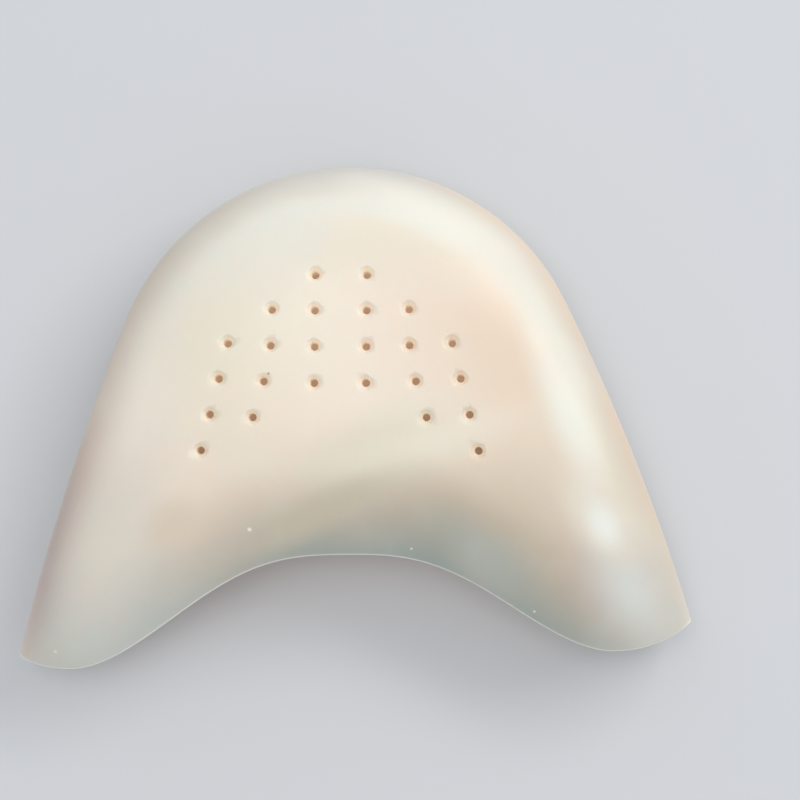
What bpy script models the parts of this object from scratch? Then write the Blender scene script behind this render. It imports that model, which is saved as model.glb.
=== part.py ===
"""A gel toe cap: one hollow shell of soft gel that covers all five toes.

The cap lies on its sole. Its round toe end points to +Y, and the foot goes in from -Y. The origin is on
the sole, below the middle of the cap. Lengths are in metres and angles in radians.

The shell is a net of lines. Each section line goes once round the cap, and each long line runs from the
toe tip back to the rim. "back" is the distance behind the toe tip, measured along -Y.
"""

import math
from collections import namedtuple

import bmesh
import bpy
from mathutils import Matrix, Vector

# Outline seen from above
TOE_RADIUS = 0.0412
LEFT_FLARE_ANGLE = math.radians(21.2)
RIGHT_FLARE_ANGLE = math.radians(25.1)
LEFT_BOW_RADIUS = 0.455
RIGHT_BOW_RADIUS = 0.294
LEFT_LOBE_LENGTH = 0.0859
RIGHT_LOBE_LENGTH = 0.0835
LEFT_CORNER_RISE = 0.0022
RIGHT_CORNER_RISE = 0.0048
ARCH_LENGTH = 0.0672
SOLE_SETBACK = 0.0080

# Heights above the surface that the cap lies on
CREST_HEIGHT = 0.0250
TIP_HEIGHT = 0.0090
SIDE_HEIGHT = 0.0085
MOUTH_HEIGHT = 0.0160

# Places and sizes of the curves between those heights
CREST_BACK = 0.0350
SOLE_START = 0.0095
SOLE_CORNER = 0.0092
REAR_FALL = 0.107
REAR_EASE = 0.0080
ROLL_LENGTH = 0.0200

# The slight hollow in the upper's flat face
DISH_DEPTH = 0.0008
DISH_HALF_WIDTH = 0.0250
DISH_HALF_LENGTH = 0.0170
DISH_BACK = 0.0330

# Wall thickness, measured square to the surface
TOE_WALL = 0.0040
BODY_WALL = 0.0028
RIM_WALL = 0.0016
TOE_WALL_LENGTH = 0.0180
RIM_TAPER_LENGTH = 0.0150

# Breathing holes
LEFT_HOLE_PITCH = 0.00604
RIGHT_HOLE_PITCH = 0.00592
ROW_PITCH = 0.00608
MIDDLE_ROW = 2
MIDDLE_ROW_BACK = 0.03244
ROW_BOW_RADIUS = 0.2680
ROWS_TURN = math.radians(0.74)
HOLE_MOUTH_DIAMETER = 0.0026
HOLE_DIAMETER = 0.00125
HOLE_OVERRUN = 0.0010

# Each row's places to the right of the centre line, as shares of the pitch, repeated on the left
HoleRow = namedtuple("HoleRow", "places")
HOLE_ROWS = (
    HoleRow(places=(0.72,)),
    HoleRow(places=(0.72, 1.91)),
    HoleRow(places=(0.72, 1.93, 3.12)),
    HoleRow(places=(0.72, 2.11, 3.36)),
    HoleRow(places=(2.41, 3.61)),
    HoleRow(places=(3.86,)),
)

# Shape of the curves, as plain ratios
TIP_POWER = 2.0
BODY_POWER = 2.6
LEFT_LOBE_SHARE = 0.822
RIGHT_LOBE_SHARE = 0.754
LOBE_STEEPNESS = 1.46
SETBACK_TO = -0.85

# Fineness of the net
SECTION_SIDES = 60
DOME_RINGS = 12
SKIRT_RINGS = 13
RIM_STEPS = 4
HOLE_SIDES = 12
STEP = 1e-4

GEL_COLOUR = (0.87, 0.80, 0.68, 1.0)
GEL_ROUGHNESS = 0.38
SMOOTH_ANGLE = math.radians(40.0)

# The two sides of the cap, which differ a little
Flank = namedtuple("Flank", "flare_angle bow_radius lobe_length lobe_share corner_rise")
LEFT = Flank(LEFT_FLARE_ANGLE, LEFT_BOW_RADIUS, LEFT_LOBE_LENGTH, LEFT_LOBE_SHARE, LEFT_CORNER_RISE)
RIGHT = Flank(RIGHT_FLARE_ANGLE, RIGHT_BOW_RADIUS, RIGHT_LOBE_LENGTH, RIGHT_LOBE_SHARE, RIGHT_CORNER_RISE)

DOME_ANGLE = math.pi / 2 - RIGHT_FLARE_ANGLE
DOME_LENGTH = TOE_RADIUS * (1 - math.cos(DOME_ANGLE))
TIP_Y = LEFT_LOBE_LENGTH / 2


def smooth_step(value):
    """Ease from 0 to 1 as value goes from 0 to 1."""
    held = min(max(value, 0.0), 1.0)
    return held * held * (3 - 2 * held)


def bump(value):
    """A smooth hump: 1 at value 0, and 0 from value 1 outward."""
    return (1 - value * value) ** 2 if abs(value) < 1 else 0.0


def quarter_round(value):
    """Height of a quarter circle, from 0 at value 0 to 1 at value 1."""
    left = 1 - min(max(value, 0.0), 1.0)
    return math.sqrt(1 - left * left)


def flank_at(turn):
    """The side of the cap that a place on a section is on."""
    return RIGHT if math.cos(turn) > 0 else LEFT


def half_width(back, flank):
    """Width of one side: a round toe end that runs on into a flaring, slightly bowed flank."""
    round_end = TOE_RADIUS * (1 - math.sin(flank.flare_angle))
    if back < round_end:
        return math.sqrt(max(back * (2 * TOE_RADIUS - back), 0.0))
    behind = back - round_end
    flare = behind * math.tan(flank.flare_angle) - behind * behind / (2 * flank.bow_radius)
    return TOE_RADIUS * math.cos(flank.flare_angle) + flare


def side_height(back):
    """Height of the line where the cap is widest."""
    return TIP_HEIGHT + (SIDE_HEIGHT - TIP_HEIGHT) * smooth_step(back / CREST_BACK)


def plain_rise(back):
    """Rise of the upper's middle line above the widest line, before it rolls down to the rim."""
    crest_rise = CREST_HEIGHT - SIDE_HEIGHT
    if back < CREST_BACK:
        return crest_rise * quarter_round(back / CREST_BACK)
    behind = back - CREST_BACK
    return crest_rise - REAR_FALL * behind * behind / (behind + REAR_EASE)


def rolled_rise(back, to_rim):
    """Rise of the upper's middle line, rolled down over the last stretch before the rim."""
    mouth_share = (MOUTH_HEIGHT - SIDE_HEIGHT) / plain_rise(ARCH_LENGTH)
    near = min(max(1 - to_rim / ROLL_LENGTH, 0.0), 1.0)
    return plain_rise(back) * (1 - (1 - mouth_share) * near * near)


def upper_power(back):
    """Squareness of the upper half of a section: an ellipse at the tip, fuller further back."""
    return TIP_POWER + (BODY_POWER - TIP_POWER) * smooth_step(back / CREST_BACK)


def dish(across, back):
    """Depth of the hollow in the upper's face."""
    return DISH_DEPTH * bump(across / DISH_HALF_WIDTH) * bump((back - DISH_BACK) / DISH_HALF_LENGTH)


def sole_drop(back):
    """Depth of the sole below the widest line."""
    return side_height(back) * quarter_round(back / SOLE_START)


def sole_corner(width):
    """Width of the round corner between the flat sole and the widest line."""
    return width * SOLE_CORNER / math.hypot(width, SOLE_CORNER)


def upper_point(turn, back, to_rim):
    """(across, height) of a section's upper half, for a turn from 0 to pi."""
    power = upper_power(back)
    cosine = math.cos(turn)
    sine = max(math.sin(turn), 0.0)
    reach = (abs(cosine) ** power + sine ** power) ** (-1 / power)
    across = half_width(back, flank_at(turn)) * reach * cosine
    height = side_height(back) + rolled_rise(back, to_rim) * reach * sine - dish(across, back)
    return across, height


def sole_point(turn, back):
    """(across, height) of a section's lower half, for a turn from pi to twice pi."""
    width = half_width(back, flank_at(turn))
    corner = sole_corner(width)
    drop = sole_drop(back)
    arc_length = math.pi / 4 * (corner + drop)
    flat_length = width - corner
    toward_side = abs(turn / (math.pi / 2) - 3)
    run = (1 - toward_side) * (arc_length + flat_length)
    side = math.copysign(1.0, math.cos(turn))
    if run < arc_length:
        angle = math.pi / 2 * run / arc_length
        across = width - corner * (1 - math.cos(angle))
        return side * across, side_height(back) - drop * math.sin(angle)
    return side * (flat_length - (run - arc_length)), side_height(back) - drop


def section_point(turn, back, to_rim):
    """(across, height) of the outer surface at a place on a section."""
    if turn <= math.pi:
        return upper_point(turn, back, to_rim)
    return sole_point(turn, back)


def rim_back(turn):
    """How far behind the tip the rim lies.

    The upper's rim runs from the arch to a lobe on each side and a little forward again at the widest
    line. The sole's rim runs on from there, and is set back below the upper's.
    """
    flank = flank_at(turn)
    across = abs(section_point(turn, flank.lobe_length, 0.0)[0]) / half_width(flank.lobe_length, flank)
    lobe = flank.lobe_length - ARCH_LENGTH
    if turn <= math.pi:
        swing = math.sin(math.pi / 2 * min(across / flank.lobe_share, 1.0) ** LOBE_STEEPNESS)
        past_lobe = max(across - flank.lobe_share, 0.0) / (1 - flank.lobe_share)
        front = lobe * swing * swing - flank.corner_rise * past_lobe * past_lobe
    else:
        swing = math.sin(math.pi / 2 * across ** LOBE_STEEPNESS)
        front = (lobe - flank.corner_rise) * swing * swing
    under = smooth_step(math.sin(turn) / SETBACK_TO)
    return ARCH_LENGTH + front - SOLE_SETBACK * under


def edge_back(turn):
    """Where the outer surface ends and the rounded rim begins."""
    return rim_back(turn) - RIM_WALL / 2


def back_at(turn, ring):
    """Distance behind the tip of a ring: by equal angles on the dome, by equal shares behind it."""
    if ring <= DOME_RINGS:
        return TOE_RADIUS * (1 - math.cos(DOME_ANGLE * ring / DOME_RINGS))
    share = (ring - DOME_RINGS) / SKIRT_RINGS
    return DOME_LENGTH + (edge_back(turn) - DOME_LENGTH) * share


def outer_point(turn, ring):
    """A point of the outer surface."""
    wrapped = turn % (2 * math.pi)
    back = back_at(wrapped, ring)
    across, height = section_point(wrapped, back, rim_back(wrapped) - back)
    return Vector((across, TIP_Y - back, height))


def outward(turn, ring):
    """Outward unit normal of the outer surface."""
    along_section = outer_point(turn + STEP, ring) - outer_point(turn - STEP, ring)
    along_cap = outer_point(turn, ring + STEP) - outer_point(turn, ring - STEP)
    return along_section.cross(along_cap).normalized()


def wall(back, to_rim):
    """Wall thickness: thick at the toe end, thin at the rim."""
    toe_share = 1 - smooth_step(back / TOE_WALL_LENGTH)
    rim_share = 1 - smooth_step(to_rim / RIM_TAPER_LENGTH)
    return BODY_WALL + (TOE_WALL - BODY_WALL) * toe_share + (RIM_WALL - BODY_WALL) * rim_share


def inner_point(turn, ring):
    """A point of the inner surface, one wall inside the outer surface."""
    back = back_at(turn, ring)
    return outer_point(turn, ring) - outward(turn, ring) * wall(back, edge_back(turn) - back)


def rim_point(turn, step):
    """A point of the rounded rim, between the outer edge at step 0 and the inner edge at the last."""
    last_ring = DOME_RINGS + SKIRT_RINGS
    normal = outward(turn, last_ring)
    along_rim = outer_point(turn + STEP, last_ring) - outer_point(turn - STEP, last_ring)
    past_edge = along_rim.cross(normal).normalized()
    if past_edge.y > 0:
        past_edge.negate()
    angle = math.pi * step / RIM_STEPS
    middle = outer_point(turn, last_ring) - normal * RIM_WALL / 2
    return middle + (normal * math.cos(angle) + past_edge * math.sin(angle)) * RIM_WALL / 2


def net_rows():
    """Rows of points from the outer tip, over the rim, to the inner tip, without the two tips."""
    turns = [2 * math.pi * side / SECTION_SIDES for side in range(SECTION_SIDES)]
    rings = range(1, DOME_RINGS + SKIRT_RINGS + 1)
    rows = [[outer_point(turn, ring) for turn in turns] for ring in rings]
    rows += [[rim_point(turn, step) for turn in turns] for step in range(1, RIM_STEPS)]
    rows += [[inner_point(turn, ring) for turn in turns] for ring in reversed(rings)]
    return rows


def shell_mesh():
    """The closed shell, outer surface, rim and inner surface, before the holes are cut."""
    mesh = bmesh.new()
    outer_tip = mesh.verts.new((0.0, TIP_Y, TIP_HEIGHT))
    inner_tip = mesh.verts.new((0.0, TIP_Y - TOE_WALL, TIP_HEIGHT))
    rows = [[mesh.verts.new(point) for point in row] for row in net_rows()]
    for side in range(SECTION_SIDES):
        following = (side + 1) % SECTION_SIDES
        mesh.faces.new((outer_tip, rows[0][side], rows[0][following]))
        mesh.faces.new((inner_tip, rows[-1][following], rows[-1][side]))
        for upper, lower in zip(rows, rows[1:]):
            mesh.faces.new((upper[side], lower[side], lower[following], upper[following]))
    bmesh.ops.recalc_face_normals(mesh, faces=mesh.faces)
    return mesh


def upper_surface(across, back):
    """The point of the upper's outer surface at a distance across and a distance back."""
    power = upper_power(back)
    share = across / half_width(back, RIGHT if across > 0 else LEFT)
    turn = math.atan2((1 - abs(share) ** power) ** (1 / power), share)
    across, height = upper_point(turn, back, rim_back(turn) - back)
    return Vector((across, TIP_Y - back, height))


def hole_places():
    """(across, back) of each breathing hole.

    A row bows slightly towards the tip at its ends, and all rows together are turned a little.
    """
    cosine, sine = math.cos(ROWS_TURN), math.sin(ROWS_TURN)
    for number, row in enumerate(HOLE_ROWS):
        for place in row.places:
            for pitch in (-LEFT_HOLE_PITCH, RIGHT_HOLE_PITCH):
                along_row = place * pitch
                bow = along_row * along_row / (2 * ROW_BOW_RADIUS)
                behind = (number - MIDDLE_ROW) * ROW_PITCH - bow
                yield along_row * cosine - behind * sine, MIDDLE_ROW_BACK + behind * cosine + along_row * sine


def hole_cutter_mesh():
    """Tapered round cutters, each longer than the wall is thick.

    A cutter is square to the upper along the cap and upright across it, as the pins of a mould are.
    """
    mesh = bmesh.new()
    depth = BODY_WALL + 2 * HOLE_OVERRUN
    taper = (HOLE_MOUTH_DIAMETER - HOLE_DIAMETER) / 2 / BODY_WALL
    for across, back in hole_places():
        point = upper_surface(across, back)
        along_cap = upper_surface(across, back - STEP) - upper_surface(across, back + STEP)
        axis = Vector((0.0, -along_cap.z, along_cap.y)).normalized()
        turned = axis.to_track_quat("Z", "Y").to_matrix().to_4x4()
        bmesh.ops.create_cone(
            mesh,
            cap_ends=True,
            segments=HOLE_SIDES,
            radius1=HOLE_DIAMETER / 2 - taper * HOLE_OVERRUN,
            radius2=HOLE_MOUTH_DIAMETER / 2 + taper * HOLE_OVERRUN,
            depth=depth,
            matrix=Matrix.Translation(point - axis * BODY_WALL / 2) @ turned,
        )
    return mesh


def gel_material():
    """Milky gel of a warm white."""
    material = bpy.data.materials.new("milky_gel")
    material.use_nodes = True
    shader = material.node_tree.nodes["Principled BSDF"]
    shader.inputs["Base Color"].default_value = GEL_COLOUR
    shader.inputs["Roughness"].default_value = GEL_ROUGHNESS
    shader.inputs["Metallic"].default_value = 0.0
    return material


def new_object(name, source):
    """An object made of a bmesh, which is freed."""
    data = bpy.data.meshes.new(name)
    source.to_mesh(data)
    source.free()
    made = bpy.data.objects.new(name, data)
    bpy.context.scene.collection.objects.link(made)
    return made


def cut(target, cutter):
    """Take the cutter away from the target, and keep it as a guide that isn't rendered."""
    cutter.hide_render = True
    cutter.display_type = "WIRE"
    boolean = target.modifiers.new("breathing_holes", "BOOLEAN")
    boolean.operation = "DIFFERENCE"
    boolean.solver = "EXACT"
    boolean.object = cutter


def build():
    """Make the cap."""
    for existing in list(bpy.data.objects):
        bpy.data.objects.remove(existing, do_unlink=True)
    cap = new_object("toe_cap", shell_mesh())
    cap.data.materials.append(gel_material())
    cap.data.shade_smooth()
    cap.data.set_sharp_from_angle(angle=SMOOTH_ANGLE)
    cut(cap, new_object("hole_cutters", hole_cutter_mesh()))


build()
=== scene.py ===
"""Dresses a gel toe cap: one hollow shell of milky gel that lies on its sole, with its breathing holes.

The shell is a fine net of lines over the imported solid's own sizes. "back" is the distance behind the toe
tip, measured along -Y, and "share" is a place across the cap as a share of its half width. Lengths are in
metres.
"""

import logging
import math
from dataclasses import dataclass
from enum import Enum

import bpy
import numpy as np
from mathutils import Matrix, Vector
from mathutils.kdtree import KDTree


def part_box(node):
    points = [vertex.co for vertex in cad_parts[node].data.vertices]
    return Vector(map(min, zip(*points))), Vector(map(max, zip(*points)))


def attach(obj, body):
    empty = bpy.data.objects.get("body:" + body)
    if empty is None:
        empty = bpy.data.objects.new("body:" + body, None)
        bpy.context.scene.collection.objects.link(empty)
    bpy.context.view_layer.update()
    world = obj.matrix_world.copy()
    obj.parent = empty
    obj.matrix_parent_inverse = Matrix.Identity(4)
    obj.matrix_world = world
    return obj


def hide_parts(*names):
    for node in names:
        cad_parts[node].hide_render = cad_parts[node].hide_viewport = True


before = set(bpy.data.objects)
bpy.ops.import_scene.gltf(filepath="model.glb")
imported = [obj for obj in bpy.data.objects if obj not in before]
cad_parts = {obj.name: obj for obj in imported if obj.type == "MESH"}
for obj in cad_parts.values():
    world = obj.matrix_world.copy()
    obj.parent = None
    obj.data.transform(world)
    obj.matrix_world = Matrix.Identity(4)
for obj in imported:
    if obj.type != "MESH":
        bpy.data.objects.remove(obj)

LOG = logging.getLogger("gel_toe_cap")

NODE = "toe_cap"
BODY = "root"
STEP = 1e-5
TURN_STEP = 1e-3
RING_STEP = 1e-2
RIM_SAMPLES = 720
SIDE_SAMPLES = 400

Colour = tuple[int, int, int]
Span = tuple[float, float]


class Side(Enum):
    """The two lobes, by the sign of X."""

    LEFT = -1
    RIGHT = 1


def smooth_step(value: np.ndarray) -> np.ndarray:
    """Ease from 0 to 1 as value goes from 0 to 1."""
    held = np.clip(value, 0.0, 1.0)
    return held * held * (3 - 2 * held)


def bump(value: np.ndarray) -> np.ndarray:
    """A smooth hump: 1 at value 0, and 0 from value 1 outward."""
    return np.where(np.abs(value) < 1, (1 - value * value) ** 2, 0.0)


def quarter_round(value: np.ndarray) -> np.ndarray:
    """Height of a quarter circle, from 0 at value 0 to 1 at value 1."""
    left = 1 - np.clip(value, 0.0, 1.0)
    return np.sqrt(1 - left * left)


def unit(vectors: np.ndarray) -> np.ndarray:
    """Vectors scaled to length 1."""
    return vectors / np.linalg.norm(vectors, axis=-1, keepdims=True)


def new_object(name: str, data: bpy.types.ID) -> bpy.types.Object:
    """Make an object and put it in the scene."""
    made = bpy.data.objects.new(name, data)
    bpy.context.scene.collection.objects.link(made)
    return made


def read_vectors(items: bpy.types.bpy_prop_collection, name: str) -> np.ndarray:
    """Read a vector from each item, a row for each."""
    values = np.empty(len(items) * 3)
    items.foreach_get(name, values)
    return values.reshape(-1, 3)


@dataclass(frozen=True)
class Flank:
    """One side of the cap: how it flares and bows, and the lobe that it ends in."""

    flare_angle: float
    bow_radius: float
    lobe_length: float
    lobe_share: float
    corner_rise: float

    def half_width(self, back: np.ndarray, toe_radius: float) -> np.ndarray:
        """Width of this side of the cap.

        Args:
            back: distances behind the toe tip.
            toe_radius: radius of the round toe end.

        Returns:
            The width at each distance.
        """
        round_end = toe_radius * (1 - math.sin(self.flare_angle))
        dome = np.sqrt(np.maximum(back * (2 * toe_radius - back), 0.0))
        behind = np.maximum(back - round_end, 0.0)
        flare = behind * math.tan(self.flare_angle) - behind * behind / (2 * self.bow_radius)
        return np.where(back < round_end, dome, toe_radius * math.cos(self.flare_angle) + flare)

    def rim_front(
        self, across: np.ndarray, on_upper: np.ndarray, arch: float, steepness: float
    ) -> np.ndarray:
        """How far behind the arch the rim lies.

        Args:
            across: places from the middle, 0, to the widest line, 1.
            on_upper: whether each place is on the upper.
            arch: where the rim lies in the middle.
            steepness: how late the rim turns from the arch to the lobe.

        Returns:
            One distance for each place.
        """
        lobe = self.lobe_length - arch
        swing = np.sin(math.pi / 2 * np.minimum(across / self.lobe_share, 1.0) ** steepness)
        past_lobe = np.maximum(across - self.lobe_share, 0.0) / (1 - self.lobe_share)
        upper = lobe * swing * swing - self.corner_rise * past_lobe * past_lobe
        under = np.sin(math.pi / 2 * across ** steepness)
        return np.where(on_upper, upper, (lobe - self.corner_rise) * under * under)


@dataclass(frozen=True)
class Outline:
    """The cap seen from above."""

    toe_radius: float = 0.0412
    arch_length: float = 0.0672
    left: Flank = Flank(
        flare_angle=math.radians(21.2),
        bow_radius=0.455,
        lobe_length=0.0859,
        lobe_share=0.822,
        corner_rise=0.0022,
    )
    right: Flank = Flank(
        flare_angle=math.radians(25.1),
        bow_radius=0.294,
        lobe_length=0.0835,
        lobe_share=0.754,
        corner_rise=0.0048,
    )
    lobe_steepness: float = 1.46
    sole_setback: float = 0.0080
    setback_to: float = -0.85

    @property
    def dome_angle(self) -> float:
        """Angle of the round toe end, from the tip to where the right flank begins."""
        return math.pi / 2 - self.right.flare_angle

    @property
    def dome_length(self) -> float:
        """Distance behind the tip at which the right flank begins."""
        return self.toe_radius * (1 - math.cos(self.dome_angle))

    def half_width(self, back: np.ndarray, on_right: np.ndarray) -> np.ndarray:
        """Half the cap's width at each distance, on the left or the right flank."""
        left = self.left.half_width(back, self.toe_radius)
        return np.where(on_right, self.right.half_width(back, self.toe_radius), left)

    def rim_back(self, share: np.ndarray, sine: np.ndarray) -> np.ndarray:
        """How far behind the tip the rim lies.

        Args:
            share: places across the cap, from -1 to 1.
            sine: sine of the place round the section, above 0 on the upper.

        Returns:
            The distance behind the tip of the rim at each place.
        """
        across, on_upper = np.abs(share), sine >= 0
        left = self.left.rim_front(across, on_upper, self.arch_length, self.lobe_steepness)
        right = self.right.rim_front(across, on_upper, self.arch_length, self.lobe_steepness)
        under = smooth_step(sine / self.setback_to)
        return self.arch_length + np.where(share > 0, right, left) - self.sole_setback * under


@dataclass(frozen=True)
class Profile:
    """The cap's heights, and the curves between them."""

    crest_height: float = 0.0250
    tip_height: float = 0.0090
    side_height: float = 0.0085
    mouth_height: float = 0.0160
    crest_back: float = 0.0350
    sole_start: float = 0.0095
    sole_corner: float = 0.0092
    rear_fall: float = 0.107
    rear_ease: float = 0.0080
    roll_length: float = 0.0200
    dish_depth: float = 0.0008
    dish_half_width: float = 0.0250
    dish_half_length: float = 0.0170
    dish_back: float = 0.0330
    tip_power: float = 2.0
    body_power: float = 2.6

    def side(self, back: np.ndarray) -> np.ndarray:
        """Height of the line where the cap is widest."""
        return self.tip_height + (self.side_height - self.tip_height) * smooth_step(back / self.crest_back)

    def rise(self, back: np.ndarray) -> np.ndarray:
        """Rise of the upper's middle line above the widest line."""
        crest = self.crest_height - self.side_height
        behind = np.maximum(back - self.crest_back, 0.0)
        fall = self.rear_fall * behind * behind / (behind + self.rear_ease)
        return np.where(back < self.crest_back, crest * quarter_round(back / self.crest_back), crest - fall)

    def rolled(self, back: np.ndarray, to_rim: np.ndarray, arch_length: float) -> np.ndarray:
        """Rise of the upper's middle line, rolled down before the rim.

        Args:
            back: distances behind the toe tip.
            to_rim: distances from there to the rim.
            arch_length: where the rim lies in the middle.

        Returns:
            The rise at each place.
        """
        mouth_share = (self.mouth_height - self.side_height) / self.rise(np.array(arch_length))
        near = np.clip(1 - to_rim / self.roll_length, 0.0, 1.0)
        return self.rise(back) * (1 - (1 - mouth_share) * near * near)

    def power(self, back: np.ndarray) -> np.ndarray:
        """Squareness of the upper half of a section."""
        return self.tip_power + (self.body_power - self.tip_power) * smooth_step(back / self.crest_back)

    def dish(self, across: np.ndarray, back: np.ndarray) -> np.ndarray:
        """Depth of the hollow in the upper's face."""
        length_share = (back - self.dish_back) / self.dish_half_length
        return self.dish_depth * bump(across / self.dish_half_width) * bump(length_share)


@dataclass(frozen=True)
class Wall:
    """Thickness of the gel, square to the surface."""

    toe: float = 0.0040
    body: float = 0.0028
    rim: float = 0.0016
    toe_length: float = 0.0180
    rim_taper: float = 0.0150

    def thickness(self, back: np.ndarray, to_rim: np.ndarray) -> np.ndarray:
        """Wall thickness: thick at the toe end, thin at the rim.

        Args:
            back: distances behind the toe tip.
            to_rim: distances from there to the rim.

        Returns:
            The thickness at each place.
        """
        toe_share = 1 - smooth_step(back / self.toe_length)
        rim_share = 1 - smooth_step(to_rim / self.rim_taper)
        return self.body + (self.toe - self.body) * toe_share + (self.rim - self.body) * rim_share


@dataclass(frozen=True)
class CapSurface:
    """The cap's outer and inner surfaces, as functions of a turn round the section and a ring."""

    tip_y: float
    outline: Outline = Outline()
    profile: Profile = Profile()
    wall: Wall = Wall()
    dome_rings: int = 44
    skirt_rings: int = 56

    @property
    def last_ring(self) -> int:
        """The ring at the rim."""
        return self.dome_rings + self.skirt_rings

    def upper(
        self, turn: np.ndarray, back: np.ndarray, to_rim: np.ndarray
    ) -> tuple[np.ndarray, np.ndarray]:
        """The upper half of a section.

        Args:
            turn: places round the section, from 0 to pi.
            back: distances behind the toe tip.
            to_rim: distances from there to the rim.

        Returns:
            Distances across and heights.
        """
        power = self.profile.power(back)
        cosine, sine = np.cos(turn), np.maximum(np.sin(turn), 0.0)
        reach = (np.abs(cosine) ** power + sine ** power) ** (-1 / power)
        across = self.outline.half_width(back, cosine > 0) * reach * cosine
        rise = self.profile.rolled(back, to_rim, self.outline.arch_length)
        return across, self.profile.side(back) + rise * reach * sine - self.profile.dish(across, back)

    def sole(self, turn: np.ndarray, back: np.ndarray) -> tuple[np.ndarray, np.ndarray]:
        """The lower half of a section: a flat sole with round corners.

        Args:
            turn: places round the section, from pi to twice pi.
            back: distances behind the toe tip.

        Returns:
            Distances across and heights.
        """
        width = self.outline.half_width(back, np.cos(turn) > 0)
        corner = width * self.profile.sole_corner / np.hypot(width, self.profile.sole_corner)
        side = self.profile.side(back)
        drop = side * quarter_round(back / self.profile.sole_start)
        arc_length, flat_length = math.pi / 4 * (corner + drop), width - corner
        run = (1 - np.abs(turn / (math.pi / 2) - 3)) * (arc_length + flat_length)
        angle = np.clip(math.pi / 2 * run / arc_length, 0.0, math.pi / 2)
        flat = np.maximum(run - arc_length, 0.0)
        across = width - corner * (1 - np.cos(angle)) - flat
        return np.copysign(across, np.cos(turn)), side - drop * np.sin(angle)

    def rim_back(self, turn: np.ndarray) -> np.ndarray:
        """How far behind the tip the rim lies at each turn."""
        on_right = np.cos(turn) > 0
        length = np.where(on_right, self.outline.right.lobe_length, self.outline.left.lobe_length)
        upper, _ = self.upper(np.minimum(turn, math.pi), length, np.zeros_like(turn))
        sole, _ = self.sole(np.maximum(turn, math.pi), length)
        share = np.where(turn <= math.pi, upper, sole) / self.outline.half_width(length, on_right)
        return self.outline.rim_back(np.clip(share, -1, 1), np.sin(turn))

    def edge_back(self, turn: np.ndarray) -> np.ndarray:
        """Where the outer surface ends and the rounded rim begins."""
        return self.rim_back(turn) - self.wall.rim / 2

    def back_at(self, turn: np.ndarray, ring: np.ndarray) -> np.ndarray:
        """Distance behind the tip of a ring.

        Args:
            turn: places round the section.
            ring: ring numbers, which may be between two rings.

        Returns:
            Distances by equal angles on the dome, and by equal shares behind it.
        """
        line = self.outline
        dome = line.toe_radius * (1 - np.cos(line.dome_angle * ring / self.dome_rings))
        share = (ring - self.dome_rings) / self.skirt_rings
        skirt = line.dome_length + (self.edge_back(turn) - line.dome_length) * share
        return np.where(ring <= self.dome_rings, dome, skirt)

    def outer(self, turn: np.ndarray, ring: np.ndarray) -> np.ndarray:
        """Points of the outer surface.

        Args:
            turn: places round the section.
            ring: ring numbers.

        Returns:
            One point for each pair, as the last axis.
        """
        wrapped = np.mod(turn, 2 * math.pi)
        back = self.back_at(wrapped, ring)
        upper = self.upper(np.minimum(wrapped, math.pi), back, self.rim_back(wrapped) - back)
        sole = self.sole(np.maximum(wrapped, math.pi), back)
        on_upper = wrapped <= math.pi
        across = np.where(on_upper, upper[0], sole[0])
        height = np.where(on_upper, upper[1], sole[1])
        return np.stack([across, self.tip_y - back, height], axis=-1)

    def outward(self, turn: np.ndarray, ring: np.ndarray) -> np.ndarray:
        """Outward unit normals of the outer surface.

        Args:
            turn: places round the section.
            ring: ring numbers.

        Returns:
            One normal for each pair, as the last axis.
        """
        along_section = self.outer(turn + TURN_STEP, ring) - self.outer(turn - TURN_STEP, ring)
        along_cap = self.outer(turn, ring + RING_STEP) - self.outer(turn, ring - RING_STEP)
        return unit(np.cross(along_section, along_cap))

    def place_on_upper(self, across: float, back: float) -> np.ndarray:
        """The point of the upper's outer surface at a distance across and a distance back."""
        share = across / float(self.outline.half_width(np.array(back), np.array(across > 0)))
        power = float(self.profile.power(np.array(back)))
        turn = np.array([math.atan2((1 - abs(share) ** power) ** (1 / power), share)])
        backs = np.array([back])
        x, z = self.upper(turn, backs, self.rim_back(turn) - backs)
        return np.array([x[0], self.tip_y - back, z[0]])

    def upright_on_upper(self, across: float, back: float) -> np.ndarray:
        """The direction that is square to the upper along the cap and upright across it."""
        along = self.place_on_upper(across, back - STEP) - self.place_on_upper(across, back + STEP)
        return unit(np.array([0.0, -along[2], along[1]]))

    def to_rim(self, points: np.ndarray) -> np.ndarray:
        """Distance from points to the nearest place on the rim.

        Args:
            points: points on the shell.

        Returns:
            One distance for each point.
        """
        turns = np.linspace(0, 2 * math.pi, RIM_SAMPLES, endpoint=False)
        rim = KDTree(len(turns))
        for number, place in enumerate(self.outer(turns, np.full_like(turns, self.last_ring))):
            rim.insert(place, number)
        rim.balance()
        return np.array([rim.find(point)[2] for point in points])

    def to_side(self, points: np.ndarray) -> np.ndarray:
        """Distance in plan from points to the cap's outline, the line where it is widest.

        Args:
            points: points on the shell.

        Returns:
            One distance for each point.
        """
        line = self.outline
        reach = max(line.left.lobe_length, line.right.lobe_length)
        backs = reach * np.linspace(0, 1, SIDE_SAMPLES) ** 2
        tree = KDTree(2 * len(backs))
        for side in Side:
            across = side.value * line.half_width(backs, np.full(len(backs), side is Side.RIGHT))
            for number, (x, back) in enumerate(zip(across, backs)):
                tree.insert((x, self.tip_y - back, 0.0), number)
        tree.balance()
        return np.array([tree.find((x, y, 0.0))[2] for x, y in points[:, :2]])


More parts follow.
